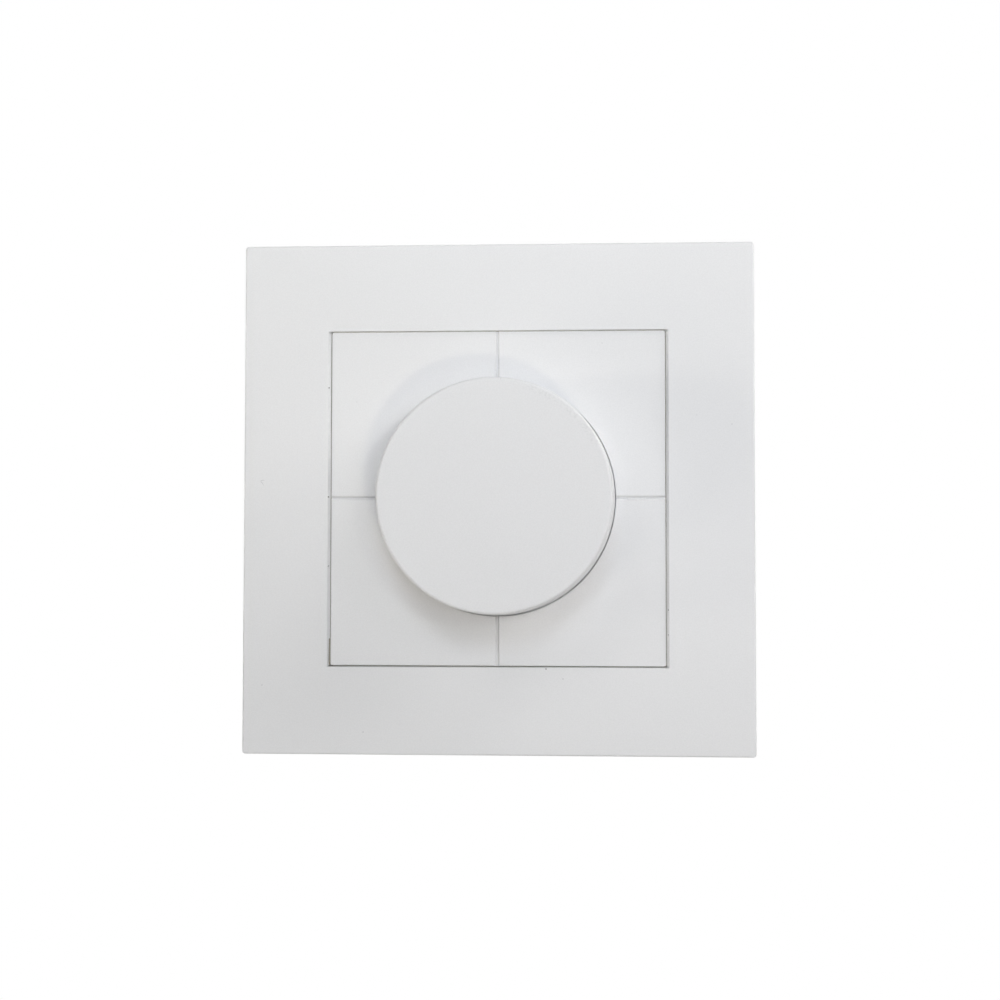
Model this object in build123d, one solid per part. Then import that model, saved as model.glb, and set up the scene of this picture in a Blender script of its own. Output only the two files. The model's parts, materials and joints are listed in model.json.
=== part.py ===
from build123d import *
import os
from math import asin, cos, degrees, radians, sin, sqrt

# Rotary push dimmer for a flush wall box. Sizes are in millimetres.
# Each piece is drawn as the dimmer lies face up on a bench: X to the right, Y up the wall and Z out of
# the wall, with Z = 0 on the wall. At the end every piece is stood up, so that its face looks along -Y.

# Cover frame
frame_size = 84.0
frame_depth = 9.5
frame_wall = 2.0
frame_corner_radius = 0.5
frame_edge_radius = 0.3
collar_wall = 1.6
frame_rib_thickness = 1.2
frame_rib_offset = 20.0
rib_clearance = 0.5
ledge_width = 2.5
ledge_thickness = 1.6
bevel_at_sides = 0.42
bevel_at_ends = 0.1
bevel_depth = 0.45
pry_notch_length = 4.6
pry_notch_depth = 0.2

# Centre plate
plate_size = 55.0
plate_gap = 0.11
plate_rise = 0.06
plate_recess = 0.3
plate_face = 1.8
plate_skirt_wall = 1.6
plate_corner_radius = 0.3
plate_edge_radius = 0.15
plate_rib_thickness = 1.2
groove_width = 0.7
groove_floor = 0.16
groove_depth = 0.35
well_margin = 0.29
well_depth = 0.95
dish_diameter = 24.0
dish_depth = 2.2
dish_wall = 1.6
pillar_wall = 1.6
nut_clearance = 0.5

# Knob
knob_base_diameter = 38.27
knob_front_diameter = 37.45
knob_rise = 11.0
knob_wall = 1.6
knob_face = 2.0
knob_edge_radius = 0.5
knob_rib_pairs = 3
knob_rib_thickness = 1.2
hub_wall = 2.2
hub_slot_width = 1.0
hub_slot_depth = 3.0
hub_end_gap = 0.3
hub_end_wall = 0.7
hub_fit = 0.02
knob_clearance = 0.2
pressed_clearance = 0.4

# Spring clip round the knob's hub
knob_clip_lead = 1.0
knob_clip_height = 1.2
knob_clip_thickness = 0.8
knob_clip_groove = 0.5
knob_clip_opening = 5.0
knob_clip_clearance = 0.1

# Shaft, bush and nuts
push_travel = 0.8
turn_range = 270.0
shaft_diameter = 6.0
shaft_flat = 1.5
shaft_tip_chamfer = 0.4
bush_clearance = 0.04
thread_diameter = 10.0
thread_clearance = 0.05
bush_hole_clearance = 0.15
bush_flange_diameter = 13.0
bush_flange_thickness = 1.5
bush_tip = 0.5
bush_tip_chamfer = 0.4
nut_across_flats = 14.0
nut_thickness = 2.5
bush_nut_thickness = 2.0
nut_chamfer = 0.5
stem_diameter = 3.2
touch_gap = 0.05

# Clip that keeps the shaft in the bush
circlip_thickness = 0.6
circlip_rim = 1.2
circlip_groove = 0.6
circlip_gap = 0.1
circlip_opening = 3.4

# Support plate and the screws of the wall box
support_margin = 2.0
support_thickness = 1.0
support_corner_cut = 9.0
box_screw_spacing = 60.0
slot_width = 4.2
slot_length = 7.0
screw_head_diameter = 7.0
screw_head_room = 3.0
screw_head_clearance = 0.4

# Housing and its cover
housing_width = 50.0
housing_corner_cut = 10.7
housing_corner_radius = 1.5
housing_edge_radius = 1.2
housing_wall = 1.6
housing_floor = 1.5
cover_thickness = 1.5
cover_lip_depth = 1.2
cover_lip_wall = 1.2
cover_lip_clearance = 0.15
screw_boss_diameter = 5.2
boss_clearance = 0.3
post_diameter = 5.2
housing_screw_diameter = 2.9
housing_screw_length = 8.0
housing_screw_head_diameter = 5.4
housing_screw_head_height = 1.8
screw_hole_clearance = 0.15
pilot_end_gap = 0.5
screw_slot_width = 0.8
screw_slot_depth = 0.8

# Potentiometer
pot_diameter = 18.0
pot_wall = 0.8
pot_hole_clearance = 0.2
rotor_diameter = 14.0
rotor_thickness = 1.6
rotor_key_clearance = 0.05
rotor_gap = 0.3
rotor_collar_wall = 0.8
rotor_collar_clearance = 0.4
rotor_nib_width = 1.6
stop_clearance = 0.3
stop_margin_degrees = 1.5
key_lead = 0.2
key_overrun = 0.4
contact_thickness = 0.3
contact_outer_diameter = 13.0
contact_hole_clearance = 0.6
finger_width = 1.2
finger_radius = 5.0
finger_length = 6.0
track_thickness = 1.2
track_clearance = 0.05

# Push switch
switch_size = 13.0
switch_corner_radius = 1.0
switch_floor = 1.8
plunger_diameter = 6.0
plunger_length = 3.0
plunger_sink = 1.0
plunger_clearance = 0.05
plunger_chamfer = 0.3

# Circuit board and what stands on it
board_thickness = 1.6
board_clearance = 0.3
sink_thickness = 1.5
sink_length = 18.0
sink_clearance = 0.8
triac_width = 10.0
triac_length = 15.5
triac_body_length = 9.2
triac_thickness = 4.4
triac_tab_thickness = 1.3
triac_hole_clearance = 0.3
triac_leg_width = 0.8
triac_leg_thickness = 0.5
triac_leg_pitch = 2.54
triac_leg_reach = 1.5
triac_leg_drop = 1.0
triac_leg_below_tab = 1.0
leg_hole_diameter = 1.3
triac_screw_diameter = 3.0
triac_screw_head_diameter = 5.5
triac_screw_head_height = 2.0
triac_screw_bite = 1.0
choke_outer_diameter = 12.0
choke_inner_diameter = 6.4
choke_width = 5.0
choke_wire = 0.8
choke_wire_gap = 0.05
choke_turns = 12
choke_wall_gap = 2.0
capacitor_length = 13.0
capacitor_thickness = 6.0
capacitor_height = 11.0
capacitor_edge_radius = 0.8
capacitor_wall_gap = 4.4
fuse_diameter = 5.0
fuse_cap_diameter = 5.2
fuse_length = 20.0
fuse_cap_length = 5.0
fuse_wall_gap = 5.7
clip_sheet = 0.5
clip_width = 4.0
clip_grip_clearance = 0.05
clip_foot_width = 3.0
clip_foot_height = 0.4
clip_mouth = 4.0

# Screw terminals
terminal_count = 3
terminal_pitch = 7.0
cage_width = 5.6
cage_height = 6.0
cage_depth = 8.4
cage_wall = 0.9
cage_clearance = 0.1
cage_stand_off = 0.6
nest_wall = 1.2
nest_gap = 0.8
wire_window_margin = 0.2
wire_funnel_flare = 0.5
wire_funnel_depth = 0.8
terminal_screw_diameter = 2.9
terminal_screw_length = 3.6
terminal_head_diameter = 4.4
terminal_head_recess = 0.4
terminal_head_clearance = 0.2

# Heights in front of the wall
support_top = support_thickness
plate_front = frame_depth - plate_recess
plate_back = support_top + ledge_thickness
screw_room_top = support_top + screw_head_room
dish_floor = plate_front - dish_depth
bush_top = dish_floor + nut_thickness + bush_tip
well_floor = plate_front - well_depth
knob_bottom = plate_front + push_travel + knob_clearance
knob_top = plate_front + knob_rise
knob_hollow_top = knob_top - knob_face
hub_bottom = bush_top + push_travel + pressed_clearance
knob_clip_bottom = hub_bottom + knob_clip_lead
knob_clip_top = knob_clip_bottom + knob_clip_height
shaft_top = knob_hollow_top - hub_end_wall - hub_end_gap

# Heights behind the wall
cover_bottom = -cover_thickness
pot_front = cover_bottom - bush_flange_thickness
circlip_top = pot_front - pot_wall - circlip_gap
circlip_bottom = circlip_top - circlip_thickness
rotor_top = circlip_bottom - push_travel - rotor_gap
rotor_bottom = rotor_top - rotor_thickness
shaft_shoulder = rotor_bottom - key_overrun
track_top = shaft_shoulder - push_travel - pressed_clearance
pot_back = track_top - track_thickness
plunger_top = pot_back - plunger_sink
plunger_bottom = plunger_top - plunger_length
switch_well = plunger_bottom - push_travel - pressed_clearance
board_top = switch_well - switch_floor
board_bottom = board_top - board_thickness
floor_top = board_bottom - cage_depth
housing_back = floor_top - housing_floor
housing_screw_end = support_top - housing_screw_length

# Widths that several pieces share
opening_size = plate_size + 2 * plate_gap
support_size = box_screw_spacing + slot_length + 2 * support_margin
collar_size = opening_size + 2 * collar_wall
hub_diameter = shaft_diameter + 2 * hub_wall
bush_hole_diameter = thread_diameter + 2 * bush_hole_clearance
nut_corner_diameter = nut_across_flats / cos(radians(30))
housing_inside = housing_width / 2 - housing_wall
corner_face = (housing_width - housing_corner_cut) / sqrt(2)
boss_offset = (corner_face - (housing_wall + screw_boss_diameter) / 2) / sqrt(2)
pot_bore = pot_diameter - 2 * pot_wall
circlip_diameter = shaft_diameter + 2 * circlip_rim
cage_bottom = cage_stand_off - housing_inside
cage_top = cage_bottom + cage_height
cage_middle = (cage_bottom + cage_top) / 2
terminal_level = (floor_top + board_bottom) / 2
terminal_places = [(i - (terminal_count - 1) / 2) * terminal_pitch for i in range(terminal_count)]
cover_lip_inside = housing_inside - cover_lip_clearance - cover_lip_wall
sink_left = pot_diameter / 2 + sink_clearance
sink_right = cover_lip_inside - sink_clearance
triac_x = (sink_left + sink_right) / 2
triac_hole_y = triac_body_length / 2
triac_top = cover_bottom - sink_thickness


def slab(sketch, bottom, top):
    """A flat sketch made into a solid between two heights."""
    return extrude(Pos(0, 0, bottom) * sketch, amount=top - bottom)


def disc(diameter, bottom, top):
    return slab(Circle(diameter / 2), bottom, top)


def tube(outer, inner, bottom, top):
    return slab(Circle(outer / 2) - Circle(inner / 2), bottom, top)


def block(left, right, low, high, bottom, top):
    """A box between its limits in X, Y and Z."""
    middle = Pos((left + right) / 2, (low + high) / 2, (bottom + top) / 2)
    return middle * Box(right - left, high - low, top - bottom)


def bar_y(x, z, diameter, low, high):
    """A round bar along Y."""
    return Pos(x, (low + high) / 2, z) * Rot(90, 0, 0) * Cylinder(diameter / 2, high - low)


def bar_x(y, z, diameter, left, right):
    """A round bar along X."""
    return Pos((left + right) / 2, y, z) * Rot(0, 90, 0) * Cylinder(diameter / 2, right - left)


def top_edges(shape):
    return shape.edges().group_by(Axis.Z)[-1]


def bottom_edges(shape):
    return shape.edges().group_by(Axis.Z)[0]


def pie(half_angle, reach):
    """A wedge from the centre, pointing along -Y."""
    side = reach * sin(radians(half_angle))
    return Polygon((0, 0), (-side, -reach), (side, -reach), align=None)


def d_section(clearance):
    """The shaft's round section with one flat on its +X side."""
    flat = shaft_diameter / 2 - shaft_flat + clearance
    keep = Pos(flat - shaft_diameter, 0) * Rectangle(2 * shaft_diameter, 2 * shaft_diameter)
    return Circle(shaft_diameter / 2 + clearance) & keep


def screw_head_rooms():
    """Room under the frame and the plate for the heads of the wall box's screws."""
    play = (slot_length - slot_width) / 2
    room = disc(screw_head_diameter + 2 * (play + screw_head_clearance), support_top, screw_room_top)
    return [loc * room for loc in PolarLocations(box_screw_spacing / 2, 4)]


def cover_frame():
    outline = RectangleRounded(frame_size, frame_size, frame_corner_radius)
    frame = slab(outline, 0, frame_depth)
    frame = fillet(top_edges(frame), frame_edge_radius)
    inside = frame_size - 2 * frame_wall
    face_back = frame_depth - frame_wall
    frame -= slab(Rectangle(inside, inside), 0, face_back)
    frame += slab(Rectangle(collar_size, collar_size), support_top, face_back)
    frame += frame_ribs(inside, face_back)
    frame -= slab(Rectangle(opening_size, opening_size), plate_back, frame_depth)
    seat = plate_size - 2 * ledge_width
    frame -= slab(Rectangle(seat, seat), support_top, plate_back)
    frame -= opening_bevel()
    frame -= pry_notch()
    return frame - screw_head_rooms()


def frame_ribs(inside, face_back):
    """Two ribs on each side, between the collar round the opening and the outer rim."""
    low = support_top + rib_clearance
    half = frame_rib_thickness / 2
    side = block(collar_size / 2, inside / 2, -half, half, low, face_back)
    pair = [Pos(0, frame_rib_offset, 0) * side, Pos(0, -frame_rib_offset, 0) * side]
    return [Rot(0, 0, 90 * turn) * rib for turn in range(4) for rib in pair]


def opening_bevel():
    """The bevel round the opening, wider at its left and right sides."""
    narrow = Rectangle(opening_size, opening_size)
    wide = Rectangle(opening_size + 2 * bevel_at_sides, opening_size + 2 * bevel_at_ends)
    return loft([Pos(0, 0, frame_depth - bevel_depth) * narrow, Pos(0, 0, frame_depth) * wide])


def pry_notch():
    """The shallow notch at the lower end of the opening's left side, to lift the plate out by."""
    left = -opening_size / 2
    low = -opening_size / 2
    return block(left - pry_notch_depth, left, low, low + pry_notch_length, plate_back, frame_depth)


def centre_plate():
    plate = slab(RectangleRounded(plate_size, plate_size, plate_corner_radius), plate_back, plate_front)
    plate = fillet(top_edges(plate), plate_edge_radius)
    inside = plate_size - 2 * plate_skirt_wall
    face_back = plate_front - plate_face
    floor_back = dish_floor - plate_face
    well = knob_base_diameter + 2 * well_margin
    pillar_bore = nut_corner_diameter + 2 * nut_clearance
    pillar = pillar_bore + 2 * pillar_wall
    plate -= slab(Rectangle(inside, inside), plate_back, face_back)
    plate += plate_ribs(inside, face_back)
    plate += disc(well + 2 * dish_wall, well_floor - plate_face, face_back)
    plate += disc(dish_diameter + 2 * dish_wall, floor_back, face_back)
    plate += disc(pillar, support_top, floor_back)
    plate -= disc(well, well_floor, plate_front)
    plate -= disc(dish_diameter, dish_floor, plate_front)
    plate -= disc(pillar_bore, support_top, floor_back)
    plate -= disc(bush_hole_diameter, floor_back, dish_floor)
    plate -= [plate_groove(), Rot(0, 0, 90) * plate_groove()]
    plate -= screw_head_rooms()
    return Pos(0, plate_rise, 0) * plate


def plate_ribs(inside, face_back):
    """Stiffening ribs behind the four grooves."""
    low = screw_room_top + rib_clearance
    rib = slab(Rectangle(inside, plate_rib_thickness), low, face_back)
    return [rib, Rot(0, 0, 90) * rib]


def plate_groove():
    """One straight groove across the whole face, with sloping sides and a narrow floor."""
    half = groove_width / 2
    floor = groove_floor / 2
    section = Polygon((-half, 0), (half, 0), (floor, -groove_depth), (-floor, -groove_depth), align=None)
    return extrude(Plane.XZ * Pos(0, plate_front) * section, amount=plate_size / 2, both=True)


def hex_nut(thickness, bottom):
    prism = slab(RegularPolygon(nut_across_flats / 2, 6, major_radius=False), bottom, bottom + thickness)
    blank = disc(nut_corner_diameter, bottom, bottom + thickness)
    blank = chamfer(top_edges(blank) + bottom_edges(blank), nut_chamfer)
    return (prism & blank) - disc(thread_diameter + 2 * thread_clearance, bottom, bottom + thickness)


def retaining_nut():
    return hex_nut(nut_thickness, dish_floor)


def bush_nut():
    return hex_nut(bush_nut_thickness, support_top)


def knob_cone(inset, bottom, top):
    """A cone with the knob's taper, set in from its outer side."""
    slope = (knob_base_diameter - knob_front_diameter) / 2 / (knob_top - knob_bottom)
    radius = knob_base_diameter / 2 - inset
    low = radius - slope * (bottom - knob_bottom)
    high = radius - slope * (top - knob_bottom)
    return Pos(0, 0, (bottom + top) / 2) * Cone(low, high, top - bottom)


def dimmer_knob():
    knob = knob_cone(0, knob_bottom, knob_top)
    knob = fillet(top_edges(knob), knob_edge_radius)
    hollow = knob_cone(knob_wall, knob_bottom, knob_hollow_top)
    knob -= hollow
    rib_bottom = knob_clip_top + knob_clip_clearance
    rib = slab(Rectangle(knob_base_diameter, knob_rib_thickness), rib_bottom, knob_hollow_top)
    ribs = [Rot(0, 0, 180 / knob_rib_pairs * i) * rib & hollow for i in range(knob_rib_pairs)]
    knob += ribs
    knob += disc(hub_diameter, hub_bottom, knob_hollow_top)
    knob -= slab(d_section(hub_fit), hub_bottom, shaft_top + hub_end_gap)
    knob -= slab(Rectangle(hub_slot_width, hub_diameter), hub_bottom, hub_bottom + hub_slot_depth)
    groove = hub_diameter - 2 * knob_clip_groove
    return knob - tube(hub_diameter, groove, knob_clip_bottom - knob_clip_clearance, rib_bottom)


def knob_spring_clip():
    inner = hub_diameter - 2 * knob_clip_groove + 2 * hub_fit
    outer = inner + 2 * knob_clip_thickness
    ring = tube(outer, inner, knob_clip_bottom, knob_clip_top)
    half = knob_clip_opening / 2
    return ring - block(0, outer, -half, half, knob_clip_bottom, knob_clip_top)


def threaded_bush():
    bush = disc(thread_diameter, cover_bottom, bush_top)
    bush = chamfer(top_edges(bush), bush_tip_chamfer)
    bush += disc(bush_flange_diameter, pot_front, cover_bottom)
    return bush - disc(shaft_diameter + 2 * bush_clearance, pot_front, bush_top)


def control_shaft():
    shaft = disc(shaft_diameter, shaft_shoulder, shaft_top)
    shaft = chamfer(top_edges(shaft), shaft_tip_chamfer)
    shaft += disc(stem_diameter, plunger_top + touch_gap, shaft_shoulder)
    blank = Rectangle(2 * shaft_diameter, 2 * shaft_diameter) - d_section(0)
    shaft -= slab(blank, hub_bottom - key_lead, shaft_top)
    lower_flat = slab(blank, shaft_shoulder, rotor_top + push_travel + key_lead)
    shaft -= lower_flat
    groove = shaft_diameter - 2 * circlip_groove
    shaft -= tube(2 * shaft_diameter, groove, circlip_bottom, circlip_top)
    return shaft


def shaft_circlip():
    inner = shaft_diameter - 2 * circlip_groove + 2 * hub_fit
    ring = tube(circlip_diameter, inner, circlip_bottom, circlip_top)
    half = circlip_opening / 2
    return ring - block(-circlip_diameter, 0, -half, half, circlip_bottom, circlip_top)


def support_plate():
    blank = Rectangle(support_size, support_size)
    blank = chamfer(blank.vertices(), support_corner_cut)
    blank -= Circle(bush_hole_diameter / 2)
    slot = SlotOverall(slot_length, slot_width)
    blank -= [loc * slot for loc in PolarLocations(box_screw_spacing / 2, 4)]
    screw_hole = Circle(housing_screw_diameter / 2 + screw_hole_clearance)
    blank -= [Pos(x, y) * screw_hole for x, y in screw_places()]
    return slab(blank, 0, support_top)


def screw_places():
    """The two opposite corners where screws hold the housing to the support plate."""
    return [(boss_offset, boss_offset), (-boss_offset, -boss_offset)]


def housing_outline(inset):
    """The housing's eight-sided outline, set in from the outside."""
    side = housing_width - 2 * inset
    cut = housing_corner_cut - inset * (2 - sqrt(2))
    outline = Rectangle(side, side)
    outline = chamfer(outline.vertices(), cut)
    return fillet(outline.vertices(), housing_corner_radius)


def housing():
    case = slab(housing_outline(0), housing_back, cover_bottom)
    case = fillet(bottom_edges(case), housing_edge_radius)
    cavity = slab(housing_outline(housing_wall), floor_top, cover_bottom)
    case -= cavity
    posts = [Pos(x, -y, 0) * disc(post_diameter, floor_top, board_bottom) for x, y in screw_places()]
    bosses = [Pos(x, y, 0) * disc(screw_boss_diameter, floor_top, cover_bottom) for x, y in screw_places()]
    case += posts + bosses
    case += terminal_nest()
    pilot_bottom = housing_screw_end - pilot_end_gap
    pilot = disc(housing_screw_diameter + 2 * screw_hole_clearance, pilot_bottom, cover_bottom)
    case -= [Pos(x, y, 0) * pilot for x, y in screw_places()]
    return case - wire_funnels() - driver_holes()


def terminal_nest():
    """The open box on the housing's floor with one cell for each terminal."""
    cell = cage_width + 2 * cage_clearance
    partition = terminal_pitch - cell
    half = (terminal_count * terminal_pitch + partition) / 2
    back = cage_top + cage_clearance
    top = board_bottom - nest_gap
    nest = block(-half, half, -housing_inside, back + nest_wall, floor_top, top)
    one_cell = block(-cell / 2, cell / 2, -housing_inside, back, floor_top, top)
    return nest - [Pos(x, 0, 0) * one_cell for x in terminal_places]


def wire_funnels():
    """The flared wire entries in the housing's rear wall."""
    width = cage_width - 2 * (cage_wall + wire_window_margin)
    height = cage_height - 2 * (cage_wall + wire_window_margin)
    neck = Rectangle(width, height)
    mouth = Rectangle(width + 2 * wire_funnel_flare, height + 2 * wire_funnel_flare)
    entry = slab(neck, housing_back, floor_top)
    entry += loft([Pos(0, 0, housing_back) * mouth, Pos(0, 0, housing_back + wire_funnel_depth) * neck])
    return [Pos(x, cage_middle, 0) * entry for x in terminal_places]


def driver_holes():
    """The holes in the housing's lower wall that a screwdriver reaches the terminals through."""
    bore = terminal_head_diameter + 2 * terminal_head_clearance
    return [bar_y(x, terminal_level, bore, -housing_width / 2, -housing_inside) for x in terminal_places]


def housing_cover():
    cover = slab(housing_outline(0), cover_bottom, 0)
    outside = housing_wall + cover_lip_clearance
    lip = housing_outline(outside) - housing_outline(outside + cover_lip_wall)
    lip = slab(lip, cover_bottom - cover_lip_depth, cover_bottom)
    room = disc(screw_boss_diameter + 2 * boss_clearance, cover_bottom - cover_lip_depth, cover_bottom)
    cover += lip - [Pos(x, y, 0) * room for x, y in screw_places()]
    cover -= disc(bush_hole_diameter, cover_bottom, 0)
    screw_hole = disc(housing_screw_diameter + 2 * screw_hole_clearance, cover_bottom, 0)
    cover -= [Pos(x, y, 0) * screw_hole for x, y in screw_places()]
    bite = disc(triac_screw_diameter + 2 * thread_clearance, cover_bottom, cover_bottom + triac_screw_bite)
    return cover - Pos(triac_x, triac_hole_y, 0) * bite


def pan_head(diameter, height, bottom):
    """A slotted screw head that faces along Z."""
    head = disc(diameter, bottom, bottom + height)
    head = chamfer(top_edges(head), height / 2)
    slot = Rectangle(diameter, screw_slot_width)
    return head - slab(slot, bottom + height - screw_slot_depth, bottom + height)


def housing_screws():
    screw = pan_head(housing_screw_head_diameter, housing_screw_head_height, support_top)
    screw += disc(housing_screw_diameter, housing_screw_end, support_top)
    return Compound([Pos(x, y, 0) * screw for x, y in screw_places()])


def potentiometer_case():
    case = disc(pot_diameter, pot_back, pot_front)
    case -= disc(pot_bore, pot_back, pot_front - pot_wall)
    case -= disc(shaft_diameter + 2 * pot_hole_clearance, pot_front - pot_wall, pot_front)
    stop_inner = rotor_diameter + 2 * stop_clearance
    nib_angle = degrees(asin(rotor_nib_width / rotor_diameter))
    half_angle = 180 - turn_range / 2 - nib_angle - stop_margin_degrees
    ring = Circle(pot_bore / 2) - Circle(stop_inner / 2)
    stop = slab(ring & pie(half_angle, pot_diameter), rotor_bottom, pot_front - pot_wall)
    return case + stop


def resistive_track():
    outer = pot_bore - 2 * track_clearance
    hole = stem_diameter + 2 * pressed_clearance
    return tube(outer, hole, pot_back, track_top)


def wiper_rotor():
    rotor = slab(Circle(rotor_diameter / 2) - d_section(rotor_key_clearance), rotor_bottom, rotor_top)
    inner = circlip_diameter + 2 * rotor_collar_clearance
    rotor += tube(inner + 2 * rotor_collar_wall, inner, rotor_top, pot_front - pot_wall - circlip_gap)
    half = rotor_nib_width / 2
    nib_root = rotor_diameter / 2 - half
    nib_end = pot_bore / 2 - stop_clearance
    return rotor + block(-half, half, nib_root, nib_end, rotor_bottom, rotor_top)


def wiper_contact():
    ring_bottom = rotor_bottom - contact_thickness
    hole = shaft_diameter + 2 * contact_hole_clearance
    contact = tube(contact_outer_diameter, hole, ring_bottom, rotor_bottom)
    return contact + [wiper_finger(ring_bottom), Rot(0, 0, 180) * wiper_finger(ring_bottom)]


def wiper_finger(ring_bottom):
    """A leaf that slopes down from the contact ring to the track."""
    half = finger_length / 2
    root = ring_bottom - contact_thickness / 2
    tip = track_top + touch_gap
    lower = [(-half, root), (half, tip)]
    upper = [(half, tip + contact_thickness), (-half, root + contact_thickness)]
    outline = Polygon(*lower, *upper, align=None)
    leaf = extrude(Plane.XZ * outline, amount=finger_width / 2, both=True)
    return Pos(0, finger_radius, 0) * leaf


def push_switch_body():
    body = slab(RectangleRounded(switch_size, switch_size, switch_corner_radius), board_top, pot_back)
    return body - disc(plunger_diameter + 2 * plunger_clearance, switch_well, pot_back)


def push_switch_plunger():
    plunger = disc(plunger_diameter, plunger_bottom, plunger_top)
    return chamfer(top_edges(plunger) + bottom_edges(plunger), plunger_chamfer)


def circuit_board():
    outline = housing_outline(housing_wall + board_clearance)
    outline -= [Pos(x, y) * Circle(screw_boss_diameter / 2 + boss_clearance) for x, y in screw_places()]
    outline -= [Pos(x, triac_leg_y()) * Circle(leg_hole_diameter / 2) for x in triac_leg_places()]
    return slab(outline, board_bottom, board_top)


def triac_leg_places():
    return [triac_x + triac_leg_pitch * i for i in (-1, 0, 1)]


def triac_leg_y():
    return -triac_length / 2 - triac_leg_reach


def heat_sink():
    half = sink_length / 2
    sink = block(sink_left, sink_right, -half, half, triac_top, cover_bottom)
    hole = disc(triac_screw_diameter + 2 * thread_clearance, triac_top, cover_bottom)
    return sink - Pos(triac_x, triac_hole_y, 0) * hole


def triac():
    left = triac_x - triac_width / 2
    right = triac_x + triac_width / 2
    low = -triac_length / 2
    body = block(left, right, low, low + triac_body_length, triac_top - triac_thickness, triac_top)
    tab = block(left, right, low, -low, triac_top - triac_tab_thickness, triac_top)
    hole = disc(triac_screw_diameter + 2 * triac_hole_clearance, triac_top - triac_tab_thickness, triac_top)
    return body + tab + triac_legs(low) - Pos(triac_x, triac_hole_y, 0) * hole


def triac_legs(low):
    """Three legs that leave the body's end and bend down through the board."""
    half = triac_leg_width / 2
    top = triac_top - triac_tab_thickness - triac_leg_below_tab
    outer = triac_leg_y() - triac_leg_thickness / 2
    inner = triac_leg_y() + triac_leg_thickness / 2
    legs = []
    for x in triac_leg_places():
        legs.append(block(x - half, x + half, outer, low, top - triac_leg_thickness, top))
        legs.append(block(x - half, x + half, outer, inner, board_bottom - triac_leg_drop, top))
    return legs


def triac_screw():
    seat = triac_top - triac_tab_thickness
    head = Rot(180, 0, 0) * pan_head(triac_screw_head_diameter, triac_screw_head_height, 0)
    shank = disc(triac_screw_diameter, seat, cover_bottom + triac_screw_bite)
    return Pos(triac_x, triac_hole_y, 0) * (shank + Pos(0, 0, seat) * head)


def on_choke(shape):
    """Stands a ring that was drawn flat on its edge on the board, beside the left wall."""
    reach = choke_wire_gap + choke_wire
    x = choke_wall_gap + choke_width / 2 + reach - housing_inside
    z = board_top + choke_outer_diameter / 2 + reach
    return Pos(x, 0, z) * Rot(0, 90, 0) * shape


def choke_core():
    half = choke_width / 2
    return on_choke(tube(choke_outer_diameter, choke_inner_diameter, -half, half))


def choke_winding():
    wall = (choke_outer_diameter - choke_inner_diameter) / 2
    middle = (choke_outer_diameter + choke_inner_diameter) / 4
    inner = Rectangle(wall + 2 * choke_wire_gap, choke_width + 2 * choke_wire_gap)
    outer = offset(inner, choke_wire, kind=Kind.INTERSECTION)
    turn = extrude(Plane.XZ * (outer - inner), amount=choke_wire / 2, both=True)
    turns = [Rot(0, 0, 360 / choke_turns * i) * Pos(middle, 0, 0) * turn for i in range(choke_turns)]
    return Compound([on_choke(one) for one in turns])


def film_capacitor():
    high = housing_inside - capacitor_wall_gap
    half = capacitor_length / 2
    can = block(-half, half, high - capacitor_thickness, high, board_top, board_top + capacitor_height)
    return fillet(can.edges().filter_by(Axis.Z), capacitor_edge_radius)


def fuse_axis():
    """The fuse's place in Y and Z."""
    y = fuse_wall_gap + fuse_cap_diameter / 2 - housing_inside
    z = board_top + clip_foot_height + clip_sheet + clip_grip_clearance + fuse_cap_diameter / 2
    return y, z


def fuse():
    y, z = fuse_axis()
    half = fuse_length / 2
    glass = bar_x(y, z, fuse_diameter, -half, half)
    caps = [bar_x(y, z, fuse_cap_diameter, -half, fuse_cap_length - half),
            bar_x(y, z, fuse_cap_diameter, half - fuse_cap_length, half)]
    return glass + caps


def fuse_clips():
    """Two sprung clips, each open at the top, with a foot on the board."""
    y, z = fuse_axis()
    inner = fuse_cap_diameter / 2 + clip_grip_clearance
    outer = inner + clip_sheet
    place = (fuse_length - fuse_cap_length) / 2
    jaw = Circle(outer) - Circle(inner) - Pos(0, outer) * Rectangle(clip_mouth, 2 * inner)
    foot_height = z - board_top - inner
    foot = Pos(0, foot_height / 2 - (z - board_top)) * Rectangle(clip_foot_width, foot_height)
    section = jaw + (foot - Circle(inner))
    clip = extrude(Plane.YZ * section, amount=clip_width / 2, both=True)
    return Compound([Pos(x, y, z) * clip for x in (-place, place)])


def terminal_cages():
    section = Rectangle(cage_width, cage_height)
    section -= Rectangle(cage_width - 2 * cage_wall, cage_height - 2 * cage_wall)
    cage = slab(Pos(0, cage_middle) * section, floor_top, board_bottom)
    hole = terminal_screw_diameter + 2 * thread_clearance
    cage -= bar_y(0, terminal_level, hole, cage_bottom, cage_bottom + cage_wall)
    return Compound([Pos(x, 0, 0) * cage for x in terminal_places])


def terminal_screws():
    head_end = terminal_head_recess - housing_width / 2
    half_slot = screw_slot_width / 2
    reach = terminal_head_diameter / 2
    shank_end = cage_bottom + terminal_screw_length
    screw = bar_y(0, 0, terminal_head_diameter, head_end, cage_bottom)
    screw += bar_y(0, 0, terminal_screw_diameter, cage_bottom, shank_end)
    screw -= block(-reach, reach, head_end, head_end + screw_slot_depth, -half_slot, half_slot)
    return Compound([Pos(x, 0, terminal_level) * screw for x in terminal_places])


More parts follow.
